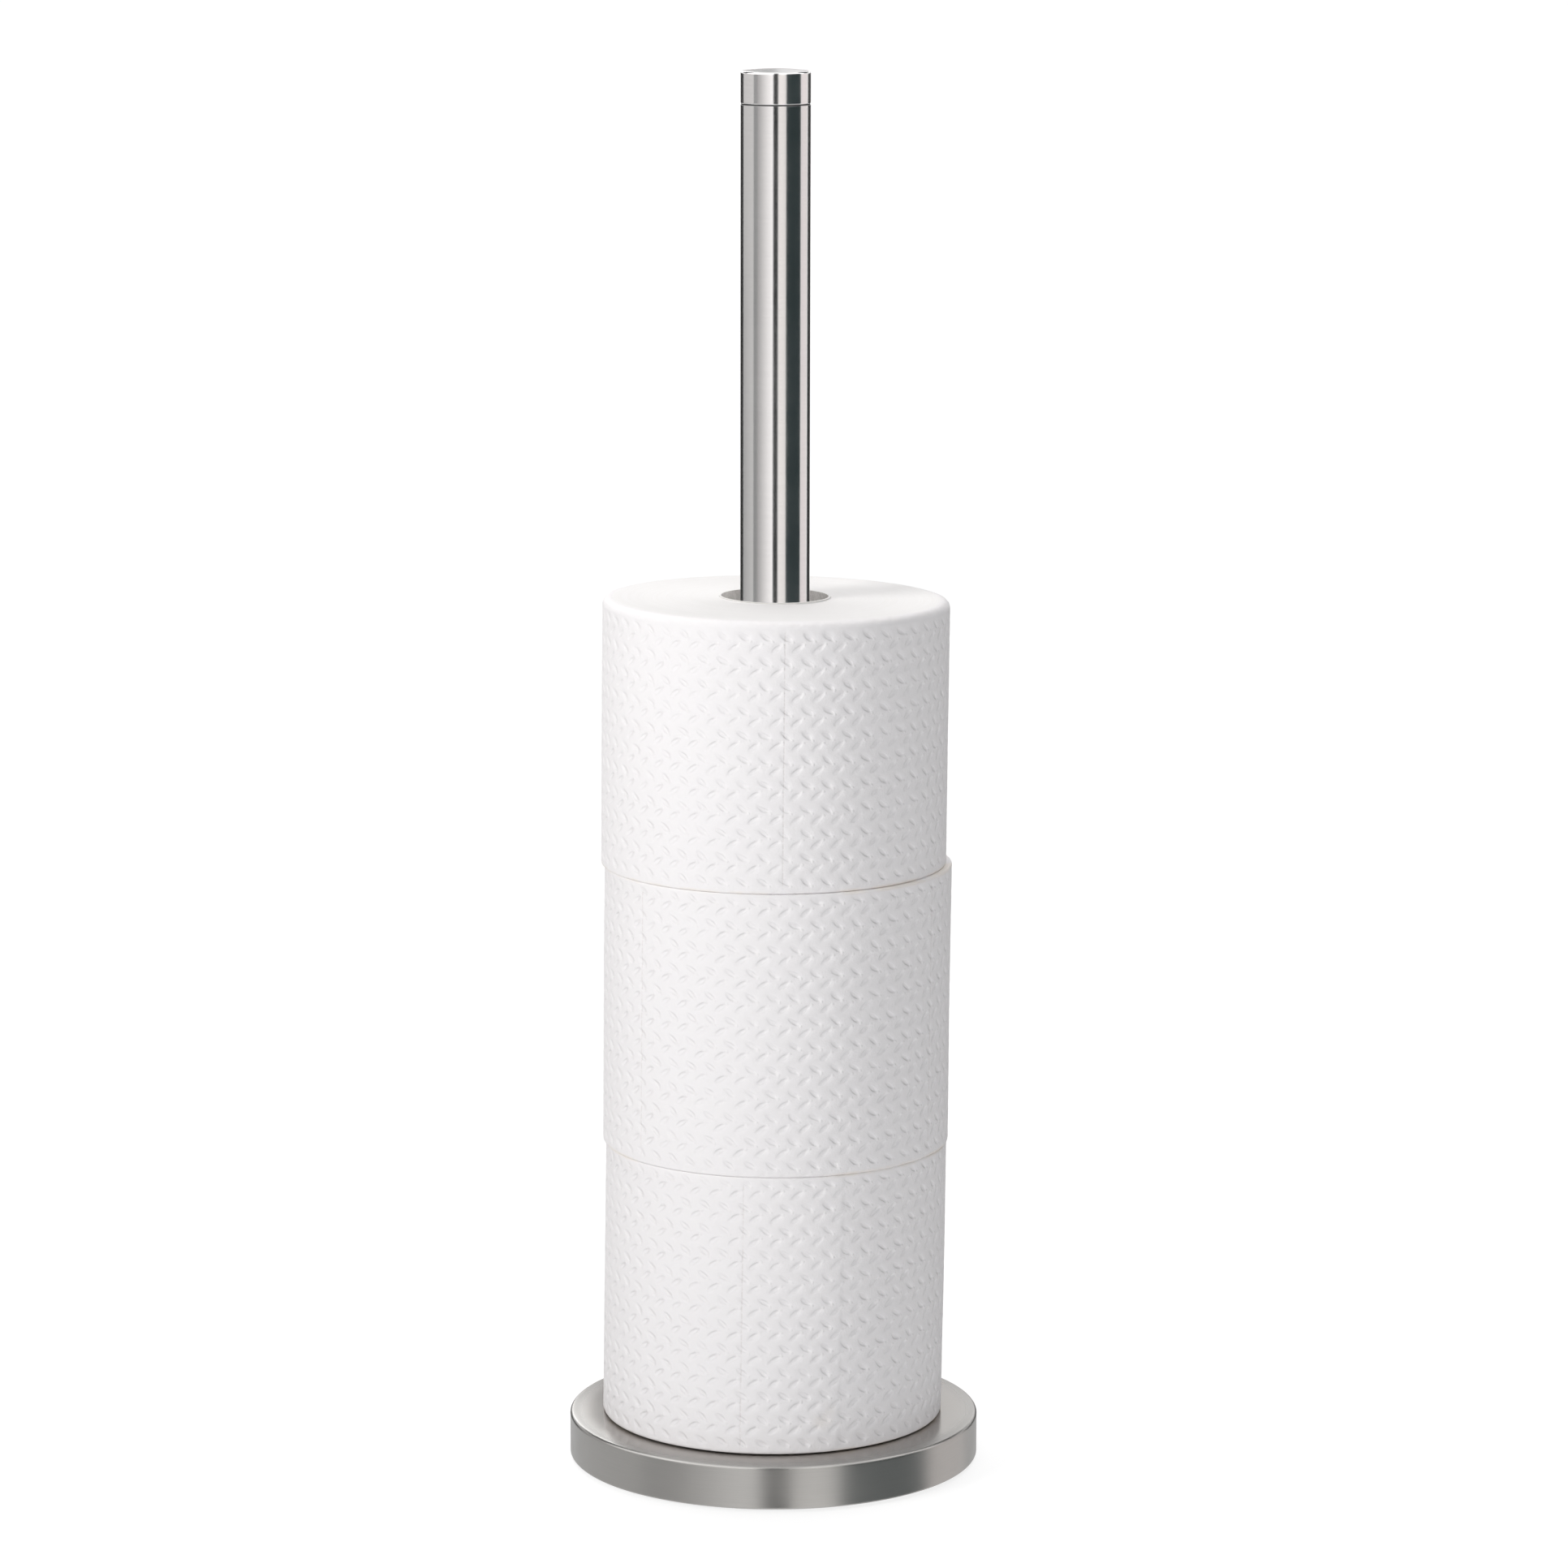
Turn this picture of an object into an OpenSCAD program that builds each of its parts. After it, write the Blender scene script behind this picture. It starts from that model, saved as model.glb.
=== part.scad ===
// Freestanding toilet roll holder: a weighted round base, a capped steel post and three stored rolls.
// Millimetres, +Z up. The origin is on the floor, under the centre of the base.

/* [Base] */
// Outside diameter of the base cover
base_d = 148; // [120:1:200]
// Height of the cover's top face above the floor
base_h = 17; // [15:0.5:30]
// Sheet thickness of the cover
cover_t = 1; // [0.6:0.1:1.5]
// Outside radius of the cover's top edge
cover_edge_r = 1.2; // [0.8:0.1:3]
// Outside radius where the cover's wall turns in under the weight
lip_edge_r = 0.8; // [0.5:0.1:1.5]
// Clear height between the floor and the rolled lip
lip_clear = 1; // [0.5:0.1:2]
// How far the rolled lip reaches in under the weight
lip_reach = 4; // [2:0.5:8]
// Radial clearance between the weight and the cover's wall
weight_gap = 0.25; // [0.1:0.05:0.5]
// Chamfer on the weight's top edge, beyond the cover's inner radius
weight_chamfer = 1; // [0.5:0.1:3]
// Radial clearance between the anti-slip pad and the lip
pad_gap = 0.5; // [0.2:0.1:2]

/* [Post] */
// Outside diameter of the tube
post_d = 25; // [20:0.5:30]
// Wall of the tube
post_wall = 1; // [0.6:0.1:2]
// Length of the tube, from the base cover to the cap's seam
post_len = 472; // [330:0.5:700]
// Length of the threaded insert in the tube's foot
insert_len = 20; // [16:1:40]
// Radial clearance of a piece that is fitted into a tube or on a thread
fit_gap = 0.05; // [0.02:0.01:0.1]

/* [Cap] */
// Height of the cap above its seam
cap_h = 12.1; // [8:0.1:20]
// Wall of the cap
cap_wall = 1; // [0.6:0.1:2]
// Thickness of the cap's top
cap_top_t = 1.2; // [0.8:0.1:2]
// Radius of the cap's top edge
cap_edge_r = 1.1; // [0.5:0.1:1.6]
// Width of the shadow line at the cap's seam
seam_gap = 0.4; // [0.2:0.1:1]
// How far the plug's collar stays back inside the seam
collar_inset = 0.4; // [0.1:0.1:0.8]
// Length of the plug inside the tube
plug_len = 15; // [8:1:30]
// Wall of the hollow plug
plug_wall = 2.4; // [1.5:0.1:4]

/* [Clamp bolt] */
// Thread diameter of the bolt that holds the post on the base
bolt_d = 8; // [6:1:10]
// Width of the bolt's hexagonal head across its flats
head_flats = 13; // [10:0.5:17]
// Height of the bolt's head
head_h = 5.3; // [4:0.1:6.5]
// Clear height between the floor and the bolt's head
head_clear = 2.6; // [1:0.1:4]
// Length of thread inside the foot insert
thread_grip = 14; // [8:1:16]
// Radial clearance of the bolt in the weight, the cover and the washers
bolt_gap = 0.4; // [0.2:0.1:1]
// Outside diameter of the flat washer
washer_d = 24; // [17:1:30]
// Thickness of the flat washer
washer_t = 1.6; // [1:0.1:2.5]
// Outside diameter of the lock washer
lock_d = 14.8; // [13:0.1:18]
// Thickness of the lock washer
lock_t = 2; // [1.2:0.1:2.5]
// Width of the split in the lock washer
lock_split = 1.2; // [0.5:0.1:2]
// Radial room for a socket spanner round the flat washer
spanner_gap = 3; // [1:0.5:6]
// Radial margin between the recess in the weight and the pad's hole
pad_margin = 3; // [1:0.5:10]

/* [Rolls] */
// Diameter of the bottom roll
bottom_roll_d = 123.5; // [90:0.5:140]
// Diameter of the middle roll
middle_roll_d = 124.5; // [90:0.5:140]
// Diameter of the top roll
top_roll_d = 123.5; // [90:0.5:140]
// Height of the bottom roll and of the middle roll
roll_h = 101.25; // [90:0.25:110]
// Height of the top roll, which is cut a little narrower
top_roll_h = 95; // [90:0.5:110]
// Radius of a roll's soft top and bottom edges
roll_edge_r = 1.5; // [0.5:0.1:6]
// Inside diameter of the cardboard cores
core_bore_d = 38; // [36:0.5:45]
// Wall of the cardboard cores
core_wall = 0.9; // [0.5:0.1:1.5]
// Radial clearance between a core and the paper wound on it
wind_gap = 0.3; // [0.2:0.05:0.5]

/* [Hidden] */
$fn = 96;

// Heights
weight_z = lip_clear + cover_t;
weight_top_z = base_h - cover_t;
head_top_z = head_clear + head_h;
washer_z = head_top_z + lock_t;
recess_top_z = washer_z + washer_t;
post_top_z = base_h + post_len;
cap_z = post_top_z + seam_gap;
cap_top_z = cap_z + cap_h;
middle_roll_z = base_h + roll_h;
top_roll_z = middle_roll_z + roll_h;

// Radii
base_r = base_d / 2;
cavity_r = base_r - cover_t;
lip_r = cavity_r - lip_reach;
weight_r = cavity_r - weight_gap;
recess_r = washer_d / 2 + spanner_gap;
pad_r = lip_r - pad_gap;
pad_hole_r = recess_r + pad_margin;
bolt_r = bolt_d / 2;
bolt_hole_r = bolt_r + bolt_gap;
thread_hole_r = bolt_r + fit_gap;
post_r = post_d / 2;
tube_bore_r = post_r - post_wall;
cap_bore_r = post_r - cap_wall;
core_r = core_bore_d / 2 + core_wall;
paper_bore_r = core_r + wind_gap;

// Smallest radius left at an inner corner of bent sheet
sheet_corner_r = 0.1;
cavity_corner_r = max(sheet_corner_r, cover_edge_r - cover_t);
weight_corner = weight_chamfer + cavity_corner_r;
// Overlap of a cutting tool past the face that it cuts
over = 1;
// Chamfer on the bolt's tip, the foot insert and the plug's mouth
lead_in = 0.6;

// Half section of a disc with rounded edges, standing on the X axis
module rim_section(r, h, top_r, low_r) {
    square([r - top_r, h]);
    square([r - low_r, h - top_r]);
    translate([0, low_r]) square([r, h - top_r - low_r]);
    translate([r - top_r, h - top_r]) circle(r = top_r);
    translate([r - low_r, low_r]) circle(r = low_r);
}

// Round plug with a chamfer at its foot and at its head
module turned_pin(r, h, low_c, top_c) {
    rotate_extrude()
        polygon([[0, 0], [r - low_c, 0], [r, low_c], [r, h - top_c], [r - top_c, h], [0, h]]);
}

// Straight hole through everything between two heights
module drill(r, z_low, z_high) {
    translate([0, 0, z_low - over]) cylinder(r = r, h = z_high - z_low + 2 * over);
}

// Drawn sheet cover, open below, with its wall turned in under the weight
module base_shell() {
    color("silver") difference() {
        rotate_extrude() difference() {
            translate([0, lip_clear])
                rim_section(base_r, base_h - lip_clear, cover_edge_r, lip_edge_r);
            translate([0, weight_z])
                rim_section(cavity_r, weight_top_z - weight_z, cavity_corner_r, sheet_corner_r);
            square([lip_r, weight_z + over]);
        }
        drill(bolt_hole_r, weight_top_z, base_h);
    }
}

// Cast disc that weights the base, with a recess below for the bolt's head
module ballast_disc() {
    color("dimgray") difference() {
        translate([0, 0, weight_z])
            turned_pin(weight_r, weight_top_z - weight_z, cavity_corner_r, weight_corner);
        translate([0, 0, weight_z - over])
            cylinder(r = recess_r, h = recess_top_z - weight_z + over);
        drill(bolt_hole_r, recess_top_z, weight_top_z);
    }
}

// Anti-slip ring glued under the weight: the only piece that touches the floor
module floor_pad() {
    color("black") difference() {
        cylinder(r = pad_r, h = weight_z);
        drill(pad_hole_r, 0, weight_z);
    }
}

// Hexagon bolt, with its head below
module clamp_bolt() {
    color("lightgray") {
        translate([0, 0, head_clear]) cylinder(d = head_flats / cos(30), h = head_h, $fn = 6);
        translate([0, 0, head_top_z])
            turned_pin(bolt_r, base_h + thread_grip - head_top_z, 0, lead_in);
    }
}

// Split spring washer above the bolt's head
module lock_washer() {
    color("gray") translate([0, 0, head_top_z]) difference() {
        cylinder(d = lock_d, h = lock_t);
        drill(bolt_hole_r, 0, lock_t);
        translate([0, -lock_split / 2, -over]) cube([lock_d, lock_split, lock_t + 2 * over]);
    }
}

// Broad washer that spreads the bolt's pull on the weight
module flat_washer() {
    color("lightgray") difference() {
        translate([0, 0, washer_z]) cylinder(d = washer_d, h = washer_t);
        drill(bolt_hole_r, washer_z, recess_top_z);
    }
}

// Brushed tube, standing on the cover
module post_tube() {
    color("silver") difference() {
        translate([0, 0, base_h]) cylinder(r = post_r, h = post_len);
        drill(tube_bore_r, base_h, post_top_z);
    }
}

// Turned steel plug, welded in the tube's foot and tapped for the bolt
module foot_insert() {
    color("darkgray") difference() {
        translate([0, 0, base_h])
            turned_pin(tube_bore_r - fit_gap, insert_len, lead_in, lead_in);
        drill(thread_hole_r, base_h, base_h + insert_len);
    }
}

// Moulded plug that holds the cap on the tube, with a thin collar in the seam
module cap_plug() {
    spigot_z = post_top_z - plug_len;
    roof_z = cap_top_z - cap_top_t;
    color("dimgray") difference() {
        union() {
            translate([0, 0, spigot_z])
                turned_pin(tube_bore_r - fit_gap, plug_len, lead_in, 0);
            translate([0, 0, post_top_z]) cylinder(r = post_r - collar_inset, h = seam_gap);
            translate([0, 0, cap_z])
                turned_pin(cap_bore_r - fit_gap, roof_z - cap_z, 0, lead_in);
        }
        translate([0, 0, spigot_z - over])
            cylinder(r = min(tube_bore_r, cap_bore_r) - plug_wall, h = roof_z - plug_wall - spigot_z + over);
    }
}

// Drawn cap with a rounded top edge, flush with the tube
module top_cap() {
    color("silver") difference() {
        translate([0, 0, cap_z]) rotate_extrude()
            rim_section(post_r, cap_h, cap_edge_r, sheet_corner_r);
        translate([0, 0, cap_z - over]) cylinder(r = cap_bore_r, h = cap_h - cap_top_t + over);
    }
}

// Cardboard tube inside a roll
module roll_core(z, h) {
    color("darkkhaki") difference() {
        translate([0, 0, z]) cylinder(r = core_r, h = h);
        drill(core_bore_d / 2, z, z + h);
    }
}

// Wound paper of a roll, with soft edges
module roll_paper(z, h, d) {
    color("white") difference() {
        translate([0, 0, z]) rotate_extrude()
            rim_section(d / 2, h, roll_edge_r, roll_edge_r);
        drill(paper_bore_r, z, z + h);
    }
}

base_shell();
ballast_disc();
floor_pad();
clamp_bolt();
lock_washer();
flat_washer();
post_tube();
foot_insert();
cap_plug();
top_cap();
roll_core(base_h, roll_h);  // bottom_roll_core
roll_core(middle_roll_z, roll_h);  // middle_roll_core
roll_core(top_roll_z, top_roll_h);  // top_roll_core
roll_paper(base_h, roll_h, bottom_roll_d);  // bottom_roll_paper
roll_paper(middle_roll_z, roll_h, middle_roll_d);  // middle_roll_paper
roll_paper(top_roll_z, top_roll_h, top_roll_d);  // top_roll_paper
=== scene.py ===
"""Looks of a freestanding toilet roll holder: a weighted base, a capped steel post and three stored rolls."""

import logging
import math
from dataclasses import dataclass, field
from enum import Enum
from functools import cache
from typing import Sequence

import bpy
import numpy as np
from mathutils import Matrix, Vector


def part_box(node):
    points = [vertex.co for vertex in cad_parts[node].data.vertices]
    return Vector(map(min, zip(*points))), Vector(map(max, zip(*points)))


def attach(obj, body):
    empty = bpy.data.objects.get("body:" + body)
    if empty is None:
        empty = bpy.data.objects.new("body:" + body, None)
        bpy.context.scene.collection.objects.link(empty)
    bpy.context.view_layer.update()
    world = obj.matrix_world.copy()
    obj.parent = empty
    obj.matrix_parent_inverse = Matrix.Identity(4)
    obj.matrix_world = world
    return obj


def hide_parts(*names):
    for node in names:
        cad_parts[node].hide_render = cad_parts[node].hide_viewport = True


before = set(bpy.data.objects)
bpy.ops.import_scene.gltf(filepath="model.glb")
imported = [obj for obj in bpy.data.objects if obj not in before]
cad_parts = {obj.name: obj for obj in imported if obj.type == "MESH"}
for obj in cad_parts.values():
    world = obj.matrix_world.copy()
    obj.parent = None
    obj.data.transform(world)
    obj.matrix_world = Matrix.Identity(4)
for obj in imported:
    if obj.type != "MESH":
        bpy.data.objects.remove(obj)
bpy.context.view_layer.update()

LOG = logging.getLogger("roll_holder")
MM = 0.001
WHITE = (1.0, 1.0, 1.0, 1.0)
SHEET_ANGLE = math.tau / 3.24
"""Angle between two tear lines of a roll."""
TAIL_STEP = 0.2 * MM
"""How far the last sheet of a roll stands above the turn below it."""
PRESS = 0.4 * MM
"""Depth of the pressed ovals in the mesh."""
FINE_PRESS = 0.26 * MM
"""Depth of their narrow floor, which the material adds."""
GROOVE = 0.03 * MM
"""Depth of a tear line in the mesh."""
SWELL, CREASE = 0.7 * MM, 0.16 * MM
"""Slow and finer unevenness of the outer turns."""
SINK, LAYER_SINK = 0.9 * MM, 0.15 * MM
"""How far the wound layers sink in the end faces, and how much they differ from one to the next."""
COLUMNS_PER_OVAL, ROWS_PER_OVAL = 10, 15
"""Mesh columns and rows in one repeat of the pressed pattern."""

Colour = tuple[float, float, float, float]
Tint = tuple[float, float, float]
Outline = list[tuple[float, float]]


def grey(level: float) -> Colour:
    """A neutral colour of one level."""
    return (level, level, level, 1.0)


# Node trees


class Value:
    """A number inside a node tree, on which ordinary arithmetic can be written."""

    def __init__(self, desk: "Desk", socket: bpy.types.NodeSocket) -> None:
        """Keeps the output socket that carries the number, and the desk of its tree."""
        self.desk = desk
        self.socket = socket

    def maths(self, operation: str, *others: "Value | float") -> "Value":
        """Adds a math node.

        Args:
            operation: name of Blender's math operation.
            others: what goes in after this value.

        Returns:
            The node's result.
        """
        node = self.desk.node("ShaderNodeMath", operation=operation)
        for slot, what in zip(node.inputs, (self, *others)):
            self.desk.feed(slot, what)
        return Value(self.desk, node.outputs[0])

    def __add__(self, other: "Value | float") -> "Value":
        """Sum."""
        return self.maths("ADD", other)

    def __sub__(self, other: "Value | float") -> "Value":
        """Difference."""
        return self.maths("SUBTRACT", other)

    def __mul__(self, other: "Value | float") -> "Value":
        """Product."""
        return self.maths("MULTIPLY", other)

    def __truediv__(self, other: "Value | float") -> "Value":
        """Quotient."""
        return self.maths("DIVIDE", other)

    def size(self) -> "Value":
        """The number without its sign."""
        return self.maths("ABSOLUTE")

    def part(self) -> "Value":
        """What is left above the whole number."""
        return self.maths("FRACT")

    def step(self, low: float, high: float, start: float = 0.0, end: float = 1.0) -> "Value":
        """Goes smoothly from one number to another while this value goes from low to high.

        Args:
            low: value at which the change starts.
            high: value at which it ends; it may be less than low.
            start: result at low and before it.
            end: result at high and past it.

        Returns:
            The changing number.
        """
        inputs = {"Value": self, "From Min": low, "From Max": high, "To Min": start, "To Max": end}
        return self.desk.use("ShaderNodeMapRange", inputs, "Result", interpolation_type="SMOOTHSTEP")


@dataclass
class Desk:
    """Places and links the nodes of one tree.

    Attributes:
        tree: the node tree.
    """

    tree: bpy.types.NodeTree

    def node(self, kind: str, **settings: object) -> bpy.types.Node:
        """Adds a node of a kind that Blender names, with some of its properties set."""
        made = self.tree.nodes.new(kind)
        for name, what in settings.items():
            setattr(made, name, what)
        return made

    def feed(self, slot: bpy.types.NodeSocket, what: object) -> None:
        """Links a value or a socket to an input, or writes a constant in it."""
        if isinstance(what, Value):
            what = what.socket
        if isinstance(what, bpy.types.NodeSocket):
            self.tree.links.new(what, slot)
        else:
            slot.default_value = what

    def fill(self, node: bpy.types.Node, inputs: dict[int | str, object]) -> None:
        """Feeds several inputs of a node, by name or by number."""
        for name, what in inputs.items():
            self.feed(node.inputs[name], what)

    def use(self, kind: str, inputs: dict[int | str, object], out: int | str = 0, **settings: object) -> Value:
        """Adds a node and feeds its inputs.

        Args:
            kind: Blender's name of the node.
            inputs: what goes into each input.
            out: the output to give back.
            settings: properties to set on the node.

        Returns:
            The chosen output.
        """
        made = self.node(kind, **settings)
        self.fill(made, inputs)
        return Value(self, made.outputs[out])

    def split(self, vector: Value) -> tuple[Value, Value, Value]:
        """Splits a vector in its three numbers."""
        parts = self.node("ShaderNodeSeparateXYZ")
        self.feed(parts.inputs[0], vector)
        return Value(self, parts.outputs[0]), Value(self, parts.outputs[1]), Value(self, parts.outputs[2])

    def join(self, x: Value | float, y: Value | float, z: Value | float) -> Value:
        """Joins three numbers in a vector."""
        return self.use("ShaderNodeCombineXYZ", {"X": x, "Y": y, "Z": z})

    def noise(self, place: Value, scale: Value | float, detail: float = 2.0, rough: float = 0.5) -> Value:
        """Noise between 0 and 1 at a place.

        Args:
            place: where the noise is read.
            scale: how many grains fit in one unit of the place.
            detail: how many finer layers it has.
            rough: how strong these are.

        Returns:
            The noise.
        """
        inputs = {"Vector": place, "Scale": scale, "Detail": detail, "Roughness": rough}
        return self.use("ShaderNodeTexNoise", inputs)

    def blend(self, amount: Value | float, start: object, end: object) -> Value:
        """Mixes two colours: an amount of 0 gives start, 1 gives end."""
        return self.use("ShaderNodeMix", {0: amount, 6: start, 7: end}, 2, data_type="RGBA")

    def object_place(self) -> Value:
        """The object coordinates."""
        return self.use("ShaderNodeTexCoord", {}, "Object")


def polar(desk: Desk, place: Value) -> tuple[Value, Value, Value]:
    """Turns a place into an angle about Z in radians, a distance from the Z axis and a height."""
    x, y, z = desk.split(place)
    return y.maths("ARCTAN2", x), (x * x + y * y).maths("SQRT"), z


def from_tear(angle: Value, first: Value | float) -> Value:
    """How far an angle is from the nearest tear line of a roll, of which first is one, in radians."""
    return (((angle - first) / SHEET_ANGLE + 0.5).part() - 0.5).size() * SHEET_ANGLE


# Shared node groups


def start_group(
    name: str, inputs: dict[str, float], outputs: Sequence[str]
) -> tuple[Desk, dict[str, Value], bpy.types.Node]:
    """Makes an empty shader group with a vector input and numbers in and out.

    Args:
        name: the group's name.
        inputs: its number inputs, with their default values.
        outputs: its number outputs.

    Returns:
        The group's desk, its inputs by name and its output node.
    """
    tree = bpy.data.node_groups.new(name, "ShaderNodeTree")
    tree.interface.new_socket("Vector", in_out="INPUT", socket_type="NodeSocketVector")
    for label, default in inputs.items():
        tree.interface.new_socket(label, in_out="INPUT", socket_type="NodeSocketFloat").default_value = default
    for label in outputs:
        tree.interface.new_socket(label, in_out="OUTPUT", socket_type="NodeSocketFloat")
    desk = Desk(tree)
    entry = desk.node("NodeGroupInput")
    given = {slot.name: Value(desk, slot) for slot in entry.outputs if slot.name}
    return desk, given, desk.node("NodeGroupOutput")


@cache
def turned_grain() -> bpy.types.NodeTree:
    """Fine lines that run round the Z axis, as on brushed metal, and the slow marks between them."""
    desk, given, out = start_group("turned_grain", {"Lines": 9000.0, "Drift": 60.0}, ("Grain", "Marks"))
    x, y, z = desk.split(given["Vector"])
    place = desk.join(x * given["Drift"], y * given["Drift"], z * given["Lines"])
    turn = (x * x + y * y).maths("SQRT") * given["Lines"]
    inputs = {"Vector": place, "W": turn, "Scale": 1.0, "Detail": 3.0, "Roughness": 0.65}
    lines = desk.use("ShaderNodeTexNoise", inputs, noise_dimensions="4D")
    desk.fill(out, {"Grain": lines, "Marks": desk.noise(given["Vector"], 40.0, 4.0, 0.6)})
    return desk.tree


@cache
def fine_wear() -> bpy.types.NodeTree:
    """Small specks and slow stains, as on cast, rubber, plated and moulded surfaces."""
    desk, given, out = start_group("fine_wear", {"Specks": 900.0, "Stains": 60.0}, ("Specks", "Stains"))
    for label, rough in (("Specks", 0.6), ("Stains", 0.5)):
        desk.feed(out.inputs[label], desk.noise(given["Vector"], given[label], 4.0, rough))
    return desk.tree


@cache
def tissue_press() -> bpy.types.NodeTree:
    """The narrow floor of the pressed ovals, from the same rule that moves the mesh."""
    desk, given, out = start_group("tissue_press", {"Turn": 0.0, "Lift": 0.0}, ("Depth",))
    depth = PATTERN.depth(desk, given["Vector"], given["Turn"], given["Lift"], rim=1.2, floor=0.1, bead=0.6)
    desk.feed(out.inputs["Depth"], depth)
    return desk.tree


# The pressed pattern of the tissue


@dataclass(frozen=True)
class Oval:
    """One pressed oval in the repeat of the pattern.

    Attributes:
        across: its place along the repeat, as a share of the pitch.
        up: its place up the repeat, as a share of the pitch.
        slope: rise of its long axis to the right, in degrees.
        length: its length at half depth.
        width: its width at half depth.
    """

    across: float
    up: float
    slope: float
    length: float
    width: float


@dataclass(frozen=True)
class PressedPattern:
    """Rows of slanted ovals, alternately leaning right and left.

    Attributes:
        repeats: ovals of one kind round the roll.
        pitch_across: repeat along the paper.
        pitch_up: repeat across the paper's width.
        ovals: the ovals in one repeat.
        bead_at: place of the bead past an oval, in half lengths.
        bead_r: radius of the bead.
    """

    repeats: int = 52
    pitch_across: float = 7.45 * MM
    pitch_up: float = 8.6 * MM
    ovals: tuple[Oval, ...] = (
        Oval(0.0, 0.0, 34.0, 4.9 * MM, 1.9 * MM),
        Oval(0.48, 0.49, -34.0, 4.7 * MM, 1.9 * MM),
    )
    bead_at: float = 1.25
    bead_r: float = 0.75 * MM

    def depth(
        self,
        desk: Desk,
        place: Value,
        turn: Value | float,
        lift: Value | float,
        rim: float = 2.1,
        floor: float = 0.15,
        bead: float = 0.0,
    ) -> Value:
        """Adds the nodes that give the depth of the ovals.

        Args:
            desk: a shader or a geometry tree.
            place: where the depth is read, on a roll that stands straight.
            turn: shift of the pattern round the roll, in repeats.
            lift: height of the pattern's first row.
            rim: where the wall of an oval starts, as the square of its half size.
            floor: where its floor starts, as the same.
            bead: height of the bead past the right end of an oval, as a share of the depth.

        Returns:
            0 between the ovals, about 1 at the floor of an oval and less than 0 on a bead.
        """
        angle, _, height = polar(desk, place)
        sway = desk.noise(place, 170.0, 1.0) - 0.5
        across = angle * (self.repeats / math.tau) - turn + sway * 0.2
        up = (height - lift) / self.pitch_up + sway * 0.12
        total: Value | None = None
        for oval in self.ovals:
            p = ((across - oval.across + 0.5).part() - 0.5) * self.pitch_across
            q = ((up - oval.up + 0.5).part() - 0.5) * self.pitch_up
            rise, run = math.sin(math.radians(oval.slope)), math.cos(math.radians(oval.slope))
            along = (p * run + q * rise) / (oval.length / 2)
            over = (q * run - p * rise) / (oval.width / 2)
            depth = (along * along + over * over).step(rim, floor) * along.step(-1.2, 0.9, 0.5, 1.1)
            if bead:
                ahead, aside = (along - self.bead_at) * (oval.length / 2), over * (oval.width / 2)
                depth = depth - (ahead * ahead + aside * aside).maths("SQRT").step(self.bead_r, 0.0) * bead
            total = depth if total is None else total + depth
        return total * desk.noise(place, 110.0, 1.0).step(0.3, 0.6, 0.7, 1.0)


PATTERN = PressedPattern()


# Materials


@dataclass(frozen=True)
class Finish:
    """What every finish shares: a material with one Principled shader, read on object coordinates."""

    name: str

    def begin(self) -> tuple[bpy.types.Material, Desk, bpy.types.Node, Value]:
        """Makes the material.

        Returns:
            The material, its desk, its Principled shader and the object coordinates.
        """
        material = bpy.data.materials.new(self.name)
        material.use_nodes = True
        desk = Desk(material.node_tree)
        shader = next(node for node in desk.tree.nodes if node.type == "BSDF_PRINCIPLED")
        return material, desk, shader, desk.object_place()

    def group(self, desk: Desk, tree: bpy.types.NodeTree, place: Value, **inputs: object) -> list[Value]:
        """Places a shared node group, feeds it and gives its outputs."""
        node = desk.node("ShaderNodeGroup", node_tree=tree)
        desk.fill(node, {"Vector": place, **inputs})
        return [Value(desk, slot) for slot in node.outputs]

    def bump(self, desk: Desk, shader: bpy.types.Node, height: Value, depth: float) -> None:
        """Feeds the shader's normal from a height that is 1 at a depth in metres."""
        normal = desk.use("ShaderNodeBump", {"Height": height, "Distance": depth, "Strength": 1.0})
        desk.feed(shader.inputs["Normal"], normal)


@dataclass(frozen=True)
class BrushedSteel(Finish):
    """Stainless steel with a fine grain round the Z axis.

    Attributes:
        colour: what it reflects straight on.
        roughness: mean roughness.
        stretch: how much the gloss is drawn out across the grain.
        grain: depth of the grain.
        flat_from: height from which a flat top has a finish of its own, or None.
        flat_roughness: mean roughness there.
        flat_colour: what it reflects there.
    """

    colour: Colour = (0.84, 0.835, 0.83, 1.0)
    roughness: float = 0.2
    stretch: float = 0.85
    grain: float = 0.0008 * MM
    flat_from: float | None = None
    flat_roughness: float = 0.2
    flat_colour: Colour = (0.84, 0.835, 0.83, 1.0)

    def material(self) -> bpy.types.Material:
        """Builds the material."""
        material, desk, shader, place = self.begin()
        fine, marks = self.group(desk, turned_grain(), place)
        colour: object = self.colour
        roughness = marks.step(0.3, 0.7, 0.9, 1.1) * self.roughness
        if self.flat_from is not None:
            flat = desk.split(place)[2].step(self.flat_from - 0.3 * MM, self.flat_from)
            colour = desk.blend(flat, self.colour, self.flat_colour)
            roughness = roughness * (flat * (self.flat_roughness / self.roughness - 1) + 1.0)
        tangent = desk.use("ShaderNodeTangent", {}, direction_type="RADIAL", axis="Z")
        inputs = {
            "Base Color": desk.blend(fine.step(0.65, 0.3) * 0.06, colour, grey(0.0)),
            "Roughness": roughness,
            "Tangent": tangent,
            "Metallic": 1.0,
            "Anisotropic": self.stretch,
            "Anisotropic Rotation": 0.25,
        }
        desk.fill(shader, inputs)
        self.bump(desk, shader, fine, self.grain)
        return material


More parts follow.
